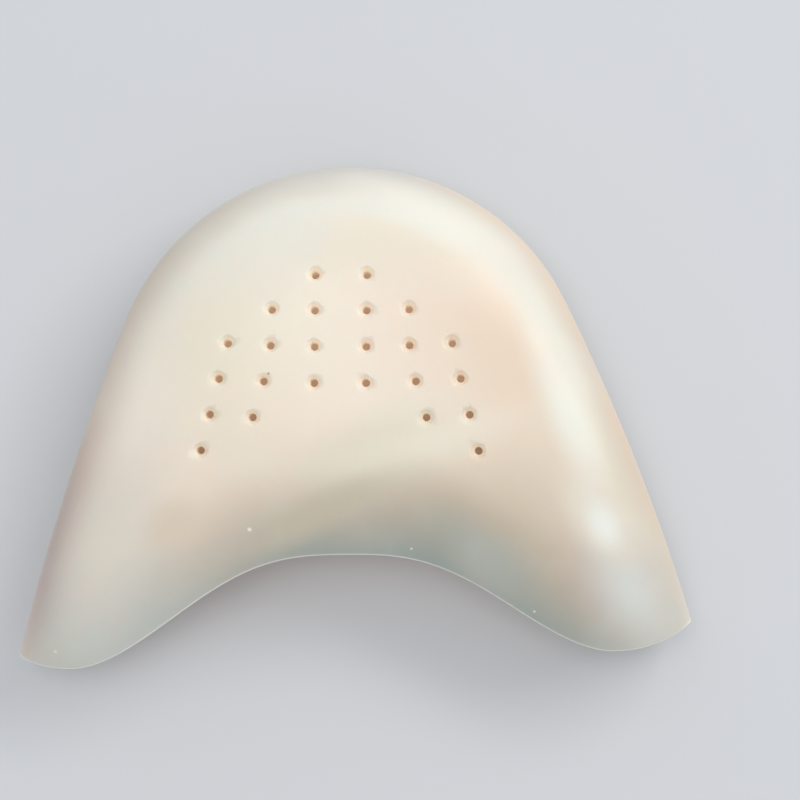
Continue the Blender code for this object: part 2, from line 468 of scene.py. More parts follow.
@dataclass(frozen=True)
class Wiring:
    """Shortens the making of nodes in one tree."""

    tree: bpy.types.NodeTree

    def feed(self, socket: bpy.types.NodeSocket, value: object) -> None:
        """Link a socket from another one, or set it to a plain value."""
        if isinstance(value, bpy.types.NodeSocket):
            self.tree.links.new(value, socket)
        else:
            socket.default_value = value

    def add(self, kind: str, **values: object) -> bpy.types.Node:
        """Add a node.

        Args:
            kind: the node's type.
            values: for each name, a property's value, a socket to link from or a socket's own value. An
                underscore stands for a space in a socket's name.

        Returns:
            The new node.
        """
        node = self.tree.nodes.new(kind)
        for name, value in values.items():
            if name in node.bl_rna.properties:
                setattr(node, name, value)
        for name, value in values.items():
            if name not in node.bl_rna.properties:
                self.feed(node.inputs[name.replace("_", " ")], value)
        return node

    def maths(self, operation: str, *values: object) -> bpy.types.NodeSocket:
        """Add a Math node.

        Args:
            operation: what it works out.
            values: sockets to link from, or numbers.

        Returns:
            Its output.
        """
        node = self.add("ShaderNodeMath", operation=operation)
        for socket, value in zip(node.inputs, values):
            self.feed(socket, value)
        return node.outputs[0]

    def vector(self, operation: str, *values: bpy.types.NodeSocket) -> bpy.types.Node:
        """Add a Vector Math node, linked from sockets in order."""
        node = self.add("ShaderNodeVectorMath", operation=operation)
        for socket, value in zip(node.inputs, values):
            self.feed(socket, value)
        return node

    def mix(
        self, mask: bpy.types.NodeSocket, under: bpy.types.NodeSocket, colour: Colour
    ) -> bpy.types.NodeSocket:
        """Lay a colour over another by a mask.

        Args:
            mask: 1 where the new colour shows.
            under: what lies below.
            colour: the new colour, 0 to 255.

        Returns:
            The mixed colour.
        """
        node = self.tree.nodes.new("ShaderNodeMix")
        node.data_type = "RGBA"
        self.tree.links.new(mask, node.inputs["Factor"])
        self.tree.links.new(under, node.inputs["A"])
        node.inputs["B"].default_value = linear(*colour)
        return node.outputs["Result"]


@dataclass(frozen=True)
class BreathingHoles:
    """The tapered holes through the upper, in rows that are turned a little as one.

    A row is given by its places right of the middle, in pitches. The left half has the same places.
    """

    surface: CapSurface
    left_pitch: float = 0.00604
    right_pitch: float = 0.00592
    row_pitch: float = 0.00608
    middle_row: int = 2
    middle_row_back: float = 0.03244
    row_bow_radius: float = 0.2680
    rows_turn: float = math.radians(0.74)
    mouth_diameter: float = 0.0026
    hole_diameter: float = 0.00125
    overrun: float = 0.0010
    sides: int = 32
    depth_steps: int = 18
    flare_power: float = 1.6
    reach_share: float = 0.56
    depth_reach: float = 1.5
    inner_from: float = 0.9
    rows: tuple[tuple[float, ...], ...] = (
        (0.72,),
        (0.72, 1.91),
        (0.72, 1.93, 3.12),
        (0.72, 2.11, 3.36),
        (2.41, 3.61),
        (3.86,),
    )

    def centres(self) -> tuple[np.ndarray, np.ndarray]:
        """Each hole's place on the outer surface and its outward axis.

        Returns:
            Points and unit axes, a row for each hole.
        """
        points, axes = [], []
        cosine, sine = math.cos(self.rows_turn), math.sin(self.rows_turn)
        for number, row in enumerate(self.rows):
            for place in row:
                for pitch in (-self.left_pitch, self.right_pitch):
                    along_row = place * pitch
                    bow = along_row * along_row / (2 * self.row_bow_radius)
                    behind = (number - self.middle_row) * self.row_pitch - bow
                    across = along_row * cosine - behind * sine
                    back = self.middle_row_back + behind * cosine + along_row * sine
                    points.append(self.surface.place_on_upper(across, back))
                    axes.append(self.surface.upright_on_upper(across, back))
        return np.array(points), np.array(axes)

    def guide(self) -> bpy.types.Object:
        """A guide object with a vertex in the middle of the wall at each hole, and its axis."""
        points, axes = self.centres()
        middle = points - axes * self.surface.wall.body / 2
        mesh = bpy.data.meshes.new("hole_places")
        mesh.from_pydata(middle.tolist(), [], [])
        attribute = mesh.attributes.new("axis", "FLOAT_VECTOR", "POINT")
        attribute.data.foreach_set("vector", axes.ravel())
        return new_object("hole_places", mesh)

    def cutting_tree(self) -> bpy.types.NodeTree:
        """Geometry Nodes that cut a countersunk hole at each vertex of a guide object.

        Returns:
            The node group, with its sizes as named inputs.
        """
        tree = bpy.data.node_groups.new("breathing_holes", "GeometryNodeTree")
        sockets = tree.interface
        sockets.new_socket(name="Geometry", in_out="INPUT", socket_type="NodeSocketGeometry")
        sockets.new_socket(name="Places", in_out="INPUT", socket_type="NodeSocketObject")
        for name in ("Mouth Radius", "Hole Radius", "Wall", "Overrun"):
            sockets.new_socket(name=name, in_out="INPUT", socket_type="NodeSocketFloat")
        sockets.new_socket(name="Sides", in_out="INPUT", socket_type="NodeSocketInt")
        sockets.new_socket(name="Material", in_out="INPUT", socket_type="NodeSocketMaterial")
        sockets.new_socket(name="Geometry", in_out="OUTPUT", socket_type="NodeSocketGeometry")
        given = tree.nodes.new("NodeGroupInput").outputs
        wire = Wiring(tree)

        depth = wire.maths("MULTIPLY_ADD", given["Overrun"], 2.0, given["Wall"])
        cutter = wire.add(
            "GeometryNodeMeshCylinder",
            Vertices=given["Sides"],
            Side_Segments=self.depth_steps,
            Radius=1.0,
            Depth=depth,
        )

        split = wire.add("ShaderNodeSeparateXYZ", Vector=wire.add("GeometryNodeInputPosition").outputs[0])
        height = wire.maths("DIVIDE", split.outputs["Z"], given["Wall"])
        flare = wire.maths("MAXIMUM", wire.maths("MULTIPLY", height, 2.0), 0.0)
        curve = wire.maths("POWER", flare, self.flare_power)
        widening = wire.maths("SUBTRACT", given["Mouth Radius"], given["Hole Radius"])
        radius = wire.maths("MULTIPLY_ADD", curve, widening, given["Hole Radius"])
        shaped = wire.add(
            "ShaderNodeCombineXYZ",
            X=wire.maths("MULTIPLY", split.outputs["X"], radius),
            Y=wire.maths("MULTIPLY", split.outputs["Y"], radius),
            Z=split.outputs["Z"],
        )
        moved = wire.add(
            "GeometryNodeSetPosition", Geometry=cutter.outputs["Mesh"], Position=shaped.outputs[0]
        )

        places = wire.add("GeometryNodeObjectInfo", Object=given["Places"])
        axis = wire.add("GeometryNodeInputNamedAttribute", Name="axis", data_type="FLOAT_VECTOR")
        turned = wire.add("FunctionNodeAlignRotationToVector", axis="Z", Vector=axis.outputs["Attribute"])
        copies = wire.add(
            "GeometryNodeInstanceOnPoints",
            Points=places.outputs["Geometry"],
            Instance=moved.outputs["Geometry"],
            Rotation=turned.outputs["Rotation"],
        )
        cutters = wire.add("GeometryNodeRealizeInstances", Geometry=copies.outputs["Instances"])
        cut = wire.add(
            "GeometryNodeMeshBoolean",
            operation="DIFFERENCE",
            solver="EXACT",
            Mesh_1=given["Geometry"],
            Mesh_2=cutters.outputs["Geometry"],
        )
        whole = wire.add("GeometryNodeRealizeInstances", Geometry=cut.outputs["Mesh"])
        dressed = wire.add(
            "GeometryNodeSetMaterial", Geometry=whole.outputs["Geometry"], Material=given["Material"]
        )
        tree.links.new(dressed.outputs["Geometry"], tree.nodes.new("NodeGroupOutput").inputs["Geometry"])
        return tree

    def cut(self, shell: bpy.types.Object, material: bpy.types.Material) -> bpy.types.Object:
        """Cut the holes and make the result a plain mesh.

        Args:
            shell: the closed shell, which is removed.
            material: the finish that the cut shell takes.

        Returns:
            The cut shell as a new object.
        """
        guide = self.guide()
        tree = self.cutting_tree()
        modifier = shell.modifiers.new("breathing_holes", "NODES")
        modifier.node_group = tree
        values = {
            "Places": guide,
            "Mouth Radius": self.mouth_diameter / 2,
            "Hole Radius": self.hole_diameter / 2,
            "Wall": self.surface.wall.body,
            "Overrun": self.overrun,
            "Sides": self.sides,
            "Material": material,
        }
        for item in tree.interface.items_tree:
            if item.in_out == "INPUT" and item.name in values:
                modifier[item.identifier] = values[item.name]
        graph = bpy.context.evaluated_depsgraph_get()
        mesh = bpy.data.meshes.new_from_object(shell.evaluated_get(graph), depsgraph=graph)
        mesh.name = "gel_cap"
        cut = new_object("gel_cap", mesh)
        for spent in (shell, guide):
            bpy.data.objects.remove(spent, do_unlink=True)
        bpy.data.node_groups.remove(tree)
        return cut


def linear(red: int, green: int, blue: int) -> tuple[float, float, float, float]:
    """A colour given as it shows on a screen, 0 to 255, turned into scene-linear values (sRGB)."""
    made = []
    for value in (red / 255, green / 255, blue / 255):
        made.append(value / 12.92 if value <= 0.04045 else ((value + 0.055) / 1.055) ** 2.4)
    return (*made, 1.0)


class Effect:
    """A shader node group with named inputs and one output, shared by whatever uses it."""

    def __init__(self, name: str, inputs: dict[str, str], output: str) -> None:
        """Make the empty group.

        Args:
            name: the group's name.
            inputs: each input's name and kind, Float or Vector.
            output: the name of the output, a number.
        """
        self.tree = bpy.data.node_groups.new(name, "ShaderNodeTree")
        for label, kind in inputs.items():
            self.tree.interface.new_socket(name=label, in_out="INPUT", socket_type=f"NodeSocket{kind}")
        self.tree.interface.new_socket(name=output, in_out="OUTPUT", socket_type="NodeSocketFloat")
        self.given = self.tree.nodes.new("NodeGroupInput").outputs
        self.result = self.tree.nodes.new("NodeGroupOutput").inputs[output]
        self.wire = Wiring(self.tree)

    def close(self, socket: bpy.types.NodeSocket) -> bpy.types.NodeTree:
        """Link the output, and give the finished group."""
        self.tree.links.new(socket, self.result)
        return self.tree


@dataclass(frozen=True)
class Cloud:
    """Noise: how many clouds fit a metre, how many finer layers it has, and how far it swings."""

    scale: float
    detail: float
    amount: float


class Effects:
    """The node groups of the gel: a soft band, a soft spot and soft clouds."""

    def __init__(self) -> None:
        """Make the groups."""
        self.band_tree = self.soft_band()
        self.spot_tree = self.soft_spot()
        self.cloud_tree = self.soft_clouds()

    def soft_band(self) -> bpy.types.NodeTree:
        """A mask that eases from 0 to 1 between two values."""
        effect = Effect("soft_band", {"Value": "Float", "None At": "Float", "Full At": "Float"}, "Mask")
        ease = effect.wire.add(
            "ShaderNodeMapRange",
            interpolation_type="SMOOTHSTEP",
            Value=effect.given["Value"],
            From_Min=effect.given["None At"],
            From_Max=effect.given["Full At"],
        )
        return effect.close(ease.outputs["Result"])

    def soft_spot(self) -> bpy.types.NodeTree:
        """A mask that eases from 1 in the middle of a turned and bowed ellipse to 0 at its edge."""
        kinds = {"Place": "Vector", "Centre": "Vector", "Radii": "Vector", "Turn": "Float", "Bow": "Float"}
        effect = Effect("soft_spot", kinds, "Mask")
        wire, given = effect.wire, effect.given
        turned = wire.add(
            "ShaderNodeVectorRotate",
            rotation_type="Z_AXIS",
            invert=True,
            Vector=given["Place"],
            Center=given["Centre"],
            Angle=given["Turn"],
        )
        offset = wire.vector("SUBTRACT", turned.outputs["Vector"], given["Centre"])
        split = wire.add("ShaderNodeSeparateXYZ", Vector=offset.outputs["Vector"]).outputs
        bowed = wire.maths("MULTIPLY", wire.maths("MULTIPLY", split["X"], split["X"]), given["Bow"])
        unbowed = wire.maths("SUBTRACT", split["Y"], bowed)
        straight = wire.add("ShaderNodeCombineXYZ", X=split["X"], Y=unbowed)
        scaled = wire.vector("DIVIDE", straight.outputs["Vector"], given["Radii"])
        away = wire.vector("LENGTH", scaled.outputs["Vector"])
        ease = wire.add(
            "ShaderNodeMapRange",
            interpolation_type="SMOOTHSTEP",
            Value=away.outputs["Value"],
            From_Min=1.0,
            From_Max=0.0,
        )
        return effect.close(ease.outputs["Result"])

    def soft_clouds(self) -> bpy.types.NodeTree:
        """Noise round 0, of a given scale and amount."""
        kinds = {"Place": "Vector", "Scale": "Float", "Detail": "Float", "Amount": "Float"}
        effect = Effect("soft_clouds", kinds, "Value")
        given = effect.given
        noise = effect.wire.add(
            "ShaderNodeTexNoise", Vector=given["Place"], Scale=given["Scale"], Detail=given["Detail"]
        )
        centred = effect.wire.maths("SUBTRACT", noise.outputs["Fac"], 0.5)
        return effect.close(effect.wire.maths("MULTIPLY", centred, given["Amount"]))


class Measure(Enum):
    """What a zone of colour is measured by."""

    ALONG = "Y"
    HEIGHT = "Z"
    RIM = "to_rim"
    SIDE = "to_side"


class Ground:
    """What one material reads: its wiring, the shared effects, the place on the piece and the distances."""

    def __init__(self, wire: Wiring, drift: Cloud) -> None:
        """Set out the distances, slightly clouded so that no limit runs like a ruled line.

        Args:
            wire: the material's wiring.
            drift: the clouding of the distances.
        """
        self.wire, self.effects = wire, Effects()
        self.place = wire.add("ShaderNodeTexCoord").outputs["Object"]
        split = wire.add("ShaderNodeSeparateXYZ", Vector=self.place).outputs
        shift = self.clouds(drift)
        self.across = split["X"]
        self.measured = {Measure.ALONG: wire.maths("ADD", split["Y"], shift), Measure.HEIGHT: split["Z"]}
        for measure in (Measure.RIM, Measure.SIDE):
            self.measured[measure] = wire.maths("ADD", self.attribute(measure.value), shift)

    def attribute(self, name: str) -> bpy.types.NodeSocket:
        """A number stored on the mesh."""
        return self.wire.add("ShaderNodeAttribute", attribute_name=name).outputs["Fac"]

    def band(self, value: bpy.types.NodeSocket, span: Span) -> bpy.types.NodeSocket:
        """Use the soft band: a mask that is 0 at the start of the span and 1 at its end."""
        kind, tree = "ShaderNodeGroup", self.effects.band_tree
        node = self.wire.add(kind, node_tree=tree, Value=value, None_At=span[0], Full_At=span[1])
        return node.outputs["Mask"]

    def clouds(self, cloud: Cloud) -> bpy.types.NodeSocket:
        """Use the soft clouds: values round 0."""
        node = self.wire.add(
            "ShaderNodeGroup",
            node_tree=self.effects.cloud_tree,
            Place=self.place,
            Scale=cloud.scale,
            Detail=cloud.detail,
            Amount=cloud.amount,
        )
        return node.outputs["Value"]


@dataclass(frozen=True)
class Band:
    """A zone of colour between two distances, eased from none to full."""

    name: str
    colour: Colour
    measure: Measure
    none_at: float
    full_at: float
    across: tuple[Span, ...] = ()
    middle: float = 0.0

    def mask(self, ground: Ground) -> bpy.types.NodeSocket:
        """Where the colour shows.

        Args:
            ground: what the zone reads.

        Returns:
            The mask.
        """
        wire, value = ground.wire, ground.measured[self.measure]
        if self.middle:
            value = wire.maths("ABSOLUTE", wire.maths("SUBTRACT", value, self.middle))
        made = ground.band(value, (self.none_at, self.full_at))
        for span in self.across:
            made = wire.maths("MULTIPLY", made, ground.band(ground.across, span))
        return made


@dataclass(frozen=True)
class Spot:
    """A zone of colour that fades from the middle of an ellipse, seen from above, to its edge.

    The ellipse is turned by some degrees, and its long way bends by "bow" over the distance squared.
    """

    name: str
    colour: Colour
    centre: Span
    radii: Span
    turn: float = 0.0
    bow: float = 0.0

    def mask(self, ground: Ground) -> bpy.types.NodeSocket:
        """Where the colour shows.

        Args:
            ground: what the zone reads.

        Returns:
            The mask.
        """
        node = ground.wire.add(
            "ShaderNodeGroup",
            node_tree=ground.effects.spot_tree,
            Place=ground.place,
            Centre=(*self.centre, 0.0),
            Radii=(*self.radii, 1.0),
            Turn=math.radians(self.turn),
            Bow=self.bow,
        )
        return node.outputs["Mask"]


LEFT_PART = (-0.006, -0.030)
RIGHT_PART = (0.008, 0.026)
MIDDLE_PART = ((0.026, 0.008), (-0.030, -0.010))


@dataclass(frozen=True)
class GelFinish:
    """Milky gel: its colours, with light and shade painted into many of them, its depth and its satin
    surface.

    The glow's power stays under 0.5, from which a glowing piece would be sampled as a lamp.
    """

    name: str = "milky_gel"
    cream: Colour = (252, 242, 229)
    # Painted light: a pale line where the rim turns sideways, for light through the thin rim.
    rim: Colour = (236, 236, 226)
    # Painted shade and light: the inner surface darker and more peach, for shade inside and warm light
    # through the gel.
    inside: Colour = (234, 216, 196)
    # Painted light: the hole bores paler, for light passing through the gel into them.
    hole: Colour = (250, 237, 220)
    glow: Colour = (99, 86, 76)
    glow_power: float = 0.125
    zones: tuple[Band | Spot, ...] = (
        Band("toe", (239, 233, 217), Measure.ALONG, 0.0178, 0.0289),
        # Painted shade: the left shoulder, turned away from the key light, greyer and cooler.
        Spot("left_shoulder", (234, 236, 229), (-0.0256, 0.0199), (0.0286, 0.0238), -20.4, 60.0),
        # Painted light: warm peach light reflected onto the right flank.
        Spot("peach_reflected_light", (215, 190, 161), (0.0755, 0.0044), (0.0324, 0.1126), 80.5),
        Spot("left_cream", (237, 228, 209), (-0.0187, 0.0108), (0.0256, 0.0302), 34.9),
        # Painted shade: greyer towards the outline, where the sides turn away from the light.
        Band("side", (192, 188, 184), Measure.SIDE, 0.0109, -0.0062),
        # Painted shade: the left side, away from the key light, darker and browner near the outline.
        Band("left_side", (214, 191, 154), Measure.SIDE, 0.0101, -0.0120, (LEFT_PART,)),
        # Painted light and shade: the right flank beyond the ridge, shaded and tinted peach by warm
        # reflected light.
        Band("right_side", (235, 210, 181), Measure.SIDE, 0.0036, -0.0008, (RIGHT_PART,)),
        # Painted highlight: the lit shoulder along the right side, a band just inside the outline.
        Band("ridge_highlight", (231, 227, 212), Measure.SIDE, 0.0057, 0.0, (RIGHT_PART,), 0.0052),
        # Painted highlight: the lit shoulder round the toe end.
        Band("crown_highlight", (235, 233, 222), Measure.SIDE, 0.0031, 0.0, MIDDLE_PART, 0.0082),
        Spot("below_face", (233, 230, 213), (0.0068, -0.0060), (0.0213, 0.0094), 16.1),
        # Painted highlight: a pale arc where the face turns down towards the arch.
        Spot("smile_highlight", (253, 253, 240), (0.0048, -0.0098), (0.0304, 0.0065), 8.0, 7.1),
        # Painted shade: darker and warmer towards the rim.
        Band("warm_shade_to_rim", (192, 159, 113), Measure.RIM, 0.0409, -0.0266),
        # Painted shade: darker over the lower right of the upper, towards the arch.
        Spot("low_right", (197, 183, 160), (0.0177, -0.0262), (0.0467, 0.0255), 20.8),
        # Painted shade: a dark brown spot low on the right, between the arch and the lobe.
        Spot("right_hollow_shade", (182, 141, 110), (0.0469, -0.0324), (0.0123, 0.0206), 44.9),
        # Painted shade: cool grey-blue near the rim, where the gel is a single thin layer, as if dark
        # showed through it.
        Band("thin", (123, 164, 172), Measure.RIM, 0.0176, -0.0159),
        # Painted shade: the left lobe greyer and cooler.
        Spot("left_lobe", (202, 205, 199), (-0.0452, -0.0324), (0.0272, 0.0302), 92.9, 5.5),
        # Painted shade: the right lobe greyer, darker towards its tip.
        Spot("right_lobe", (214, 215, 208), (0.0474, -0.0303), (0.0220, 0.0124), -60.0),
        Spot("glint", (228, 221, 206), (0.0417, -0.0181), (0.0061, 0.0135), 34.1),
        # Painted shade: mauve grey at the far left edge of the left lobe.
        Spot("left_mauve_shade", (173, 138, 137), (-0.0602, -0.0321), (0.0134, 0.0440), -33.0),
        Spot("left_inner", (227, 219, 205), (-0.0394, -0.0196), (0.0130, 0.0282), -28.1),
        Spot("arch_left", (221, 207, 187), (-0.0284, -0.0185), (0.0082, 0.0061), 33.0),
        # Painted shade: cool grey near the right side of the arch.
        Spot("arch_right", (188, 191, 181), (0.0231, -0.0253), (0.0137, 0.0068), -46.6),
        Spot("glint_core", (232, 233, 225), (0.0430, -0.0194), (0.0038, 0.0064), 25.0),
        # Painted highlight: the lower end of the right shoulder's lit band, leading into the glint.
        Spot("ridge_low", (233, 231, 219), (0.0373, -0.0018), (0.0052, 0.0192), 22.9),
        # Painted highlight: the upper end of the lit band, over the toe's right shoulder.
        Spot("toe_crest", (239, 235, 224), (0.0141, 0.0333), (0.0225, 0.0057), -26.6),
        # Painted shade: a darker arc across the middle, above the arch.
        Spot("arch_middle", (206, 197, 175), (-0.0045, -0.0171), (0.0189, 0.0047), 24.5),
        Spot("fleck_arch_left", (252, 246, 234), (-0.0157, -0.0195), (0.00055, 0.00050)),
        Spot("fleck_arch_right", (224, 238, 232), (0.0111, -0.0229), (0.00038, 0.00032)),
        Spot("fleck_right_lobe", (232, 232, 226), (0.0314, -0.0335), (0.00035, 0.00035)),
        Spot("fleck_left_lobe", (228, 226, 220), (-0.0497, -0.0397), (0.00050, 0.00045)),
        Spot("mote", (178, 120, 88), (-0.0119, 0.0061), (0.00034, 0.00030)),
        # Painted shade: darker low down on the cap, towards the floor.
        Band("lower_side", (226, 217, 204), Measure.HEIGHT, 0.0150, 0.0070),
    )
    mottling: tuple[tuple[Colour, Cloud], ...] = (
        ((242, 214, 198), Cloud(75.0, 3.0, 0.40)),
        ((212, 226, 222), Cloud(110.0, 3.0, 0.40)),
    )
    drift: Cloud = Cloud(60.0, 2.0, 0.0035)
    glow_change: Cloud = Cloud(170.0, 1.0, 0.9)
    grain: Cloud = Cloud(900.0, 3.0, 1.0)
    patches: Cloud = Cloud(120.0, 2.0, 1.0)
    inner_span: Span = (0.80, 1.0)
    inner_from_rim: Span = (0.001, 0.014)
    bore_span: Span = (0.05, 0.6)
    glow_from_rim: Span = (0.008, 0.030)
    wall_glow_start: Span = (0.02, 0.30)
    wall_glow_end: Span = (0.92, 0.55)
    wall_glow: float = 0.8
    roughness: float = 0.36
    patch_roughness: float = 0.12
    patch_relief: float = 4.0
    relief_strength: float = 0.12
    relief_depth: float = 0.0002
    refraction: float = 1.45
    softness: float = 0.6
    depth: float = 0.0035
    depth_by_colour: tuple[float, float, float] = (1.0, 0.72, 0.50)

    def colour(self, ground: Ground) -> bpy.types.NodeSocket:
        """The gel's colour over the cap, with light and shade painted into it.

        Args:
            ground: what the finish reads.

        Returns:
            The base colour.
        """
        wire = ground.wire
        base = wire.tree.nodes.new("ShaderNodeRGB")
        base.outputs[0].default_value = linear(*self.cream)
        made = base.outputs[0]
        for zone in self.zones:
            made = wire.mix(zone.mask(ground), made, zone.colour)
        for colour, cloud in self.mottling:
            made = wire.mix(wire.maths("MAXIMUM", ground.clouds(cloud), 0.0), made, colour)
        # Painted light: the pale rim line, laid where the lip mark is.
        made = wire.mix(ground.attribute("lip"), made, self.rim)
        # Painted shade and light: the inside, away from the mouth, darker and warmer than the outside.
        within = ground.band(ground.attribute("inner"), self.inner_span)
        away = ground.band(ground.attribute("to_rim"), self.inner_from_rim)
        made = wire.mix(wire.maths("MULTIPLY", within, away), made, self.inside)
        # Painted light: the hole bores paler, by depth in the hole.
        return wire.mix(ground.band(ground.attribute("hole_depth"), self.bore_span), made, self.hole)

    def glowing(self, ground: Ground) -> bpy.types.NodeSocket:
        """Light that reaches the inside and the hole walls through the gel.

        Args:
            ground: what the finish reads.

        Returns:
            The colour of the glow, for the power that the finish names.
        """
        wire, depth = ground.wire, ground.attribute("hole_depth")
        away = ground.band(ground.attribute("to_rim"), self.glow_from_rim)
        inside = wire.maths("MULTIPLY", ground.attribute("inner"), away)
        starts, ends = (ground.band(depth, span) for span in (self.wall_glow_start, self.wall_glow_end))
        wall = wire.maths("MULTIPLY", starts, ends)
        uneven = wire.maths("ADD", ground.clouds(self.glow_change), 1.0)
        light = wire.maths("MULTIPLY_ADD", wall, self.wall_glow, wire.maths("MULTIPLY", inside, uneven))
        full = [channel / self.glow_power for channel in linear(*self.glow)[:3]]
        scaled = wire.add("ShaderNodeVectorMath", operation="SCALE", Vector=full, Scale=light)
        return scaled.outputs["Vector"]

    def build(self) -> bpy.types.Material:
        """Make the material.

        Returns:
            The gel.
        """
        material = bpy.data.materials.new(self.name)
        material.use_nodes = True
        tree = material.node_tree
        shader = tree.nodes["Principled BSDF"]
        wire = Wiring(tree)
        ground = Ground(wire, self.drift)
        colour = self.colour(ground)
        patches = ground.clouds(self.patches)
        rough = wire.maths("MULTIPLY_ADD", patches, self.patch_roughness, self.roughness)
        height = wire.maths("MULTIPLY_ADD", patches, self.patch_relief, ground.clouds(self.grain))
        relief = wire.add(
            "ShaderNodeBump", Height=height, Strength=self.relief_strength, Distance=self.relief_depth
        )
        looks = {
            "Base Color": colour,
            "Roughness": rough,
            "Normal": relief.outputs["Normal"],
            "Emission Color": self.glowing(ground),
            "Emission Strength": self.glow_power,
            "Subsurface Weight": self.softness,
            "Subsurface Radius": self.depth_by_colour,
            "Subsurface Scale": self.depth,
            "IOR": self.refraction,
        }
        for name, value in looks.items():
            wire.feed(shader.inputs[name], value)
        return material


@dataclass(frozen=True)
class GelCap:
    """The cap's shell: its net of lines, its small unevenness, its holes and its finish."""

    surface: CapSurface
    finish: GelFinish = GelFinish()
    section_sides: int = 220
    rim_steps: int = 16
    # The pale painted rim line starts where the normal's upward part falls below lip_starts, and grows over
    # lip_fade.
    lip_starts: float = 0.75
    lip_fade: float = 0.35

    def rim_rows(self, turns: np.ndarray) -> list[np.ndarray]:
        """The rounded rim, between the outer and the inner edge.

        Args:
            turns: places round the section.

        Returns:
            Rows of points, without the two edges.
        """
        surface, half = self.surface, self.surface.wall.rim / 2
        last = np.full_like(turns, surface.last_ring)
        normal = surface.outward(turns, last)
        along_rim = surface.outer(turns + TURN_STEP, last) - surface.outer(turns - TURN_STEP, last)
        past_edge = unit(np.cross(along_rim, normal))
        past_edge *= np.where(past_edge[:, 1:2] > 0, -1.0, 1.0)
        middle = surface.outer(turns, last) - normal * half
        rows = []
        for step in range(1, self.rim_steps):
            angle = math.pi * step / self.rim_steps
            rows.append(middle + (normal * math.cos(angle) + past_edge * math.sin(angle)) * half)
        return rows

    def rows(self) -> tuple[np.ndarray, np.ndarray]:
        """The net from the outer tip over the rim to the inner tip, without the two tips.

        Returns:
            Points by row and turn, and for each row 0 outside and 1 inside.
        """
        surface = self.surface
        turns = np.linspace(0, 2 * math.pi, self.section_sides, endpoint=False)
        rings = np.arange(1, surface.last_ring + 1, dtype=float)
        turn, ring = np.meshgrid(turns, rings)
        outer = surface.outer(turn, ring)
        back = surface.back_at(turn, ring)
        wall = surface.wall.thickness(back, surface.edge_back(turn) - back)
        inner = outer - surface.outward(turn, ring) * wall[..., None]
        rim = self.rim_rows(turns)
        points = np.concatenate([outer, np.array(rim), inner[::-1]])
        inside = np.concatenate([
            np.zeros(len(outer)),
            np.linspace(0, 1, len(rim) + 2)[1:-1],
            np.ones(len(inner)),
        ])
        return points, inside

    def shell(self) -> bpy.types.Object:
        """The closed shell before its holes are cut.

        Returns:
            A new object with the attribute "inner".
        """
        points, inside = self.rows()
        count, sides = points.shape[:2]
        profile, wall = self.surface.profile, self.surface.wall
        tips = np.array([
            [0.0, self.surface.tip_y, profile.tip_height],
            [0.0, self.surface.tip_y - wall.toe, profile.tip_height],
        ])
        vertices = np.concatenate([tips, points.reshape(-1, 3)])
        number = np.arange(count * sides).reshape(count, sides) + 2
        following = np.roll(number, -1, axis=1)
        quads = np.stack([number[:-1], number[1:], following[1:], following[:-1]], axis=-1).reshape(-1, 4)
        outer_fan = np.stack([np.zeros(sides, int), number[0], following[0]], axis=-1)
        inner_fan = np.stack([np.ones(sides, int), following[-1], number[-1]], axis=-1)
        mesh = bpy.data.meshes.new("gel_shell")
        mesh.from_pydata(vertices.tolist(), [], [*quads.tolist(), *outer_fan.tolist(), *inner_fan.tolist()])
        mesh.attributes.new("inner", "FLOAT", "POINT").data.foreach_set(
            "value", np.concatenate([[0.0, 1.0], np.repeat(inside, sides)])
        )
        mesh.shade_smooth()
        return new_object("gel_shell", mesh)

    def mark(self, cap: bpy.types.Object, holes: BreathingHoles) -> None:
        """Store on the mesh what the finish reads.

        Args:
            cap: the cut shell.
            holes: its holes.
        """
        mesh = cap.data
        points, normals = read_vectors(mesh.vertices, "co"), read_vectors(mesh.vertex_normals, "vector")
        inner = np.empty(len(points))
        mesh.attributes["inner"].data.foreach_get("value", inner)
        depth = np.zeros(len(points))
        wall, reach = self.surface.wall.body, holes.mouth_diameter * holes.reach_share
        for centre, axis in zip(*holes.centres()):
            offset = points - centre
            along = offset @ axis
            away = np.linalg.norm(offset - np.outer(along, axis), axis=1)
            near = (away < reach) & (along > -holes.depth_reach * wall) & (along < wall)
            depth[near] = np.clip(-along[near] / wall, 0.0, 1.0)
            inner[near] = smooth_step((depth[near] - holes.inner_from) / (1 - holes.inner_from))
        # Painted light: lip marks the pale line on the rim where the surface leans sideways.
        lean = (self.lip_starts - normals[:, 2]) / self.lip_fade
        on_rim = (inner > 0) & (inner < 1) & (depth == 0)
        values = {
            "inner": inner,
            "lip": np.where(on_rim, smooth_step(lean), 0.0),
            "hole_depth": depth,
            "to_rim": self.surface.to_rim(points),
            "to_side": self.surface.to_side(points),
        }
        for name, value in values.items():
            found = mesh.attributes.get(name) or mesh.attributes.new(name, "FLOAT", "POINT")
            found.data.foreach_set("value", value)

    def build(self) -> bpy.types.Object:
        """Make the whole cap.

        Returns:
            The finished piece.
        """
        material = self.finish.build()
        holes = BreathingHoles(self.surface)
        cap = holes.cut(self.shell(), material)
        self.mark(cap, holes)
        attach(cap, BODY)
        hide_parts(NODE)
        return cap


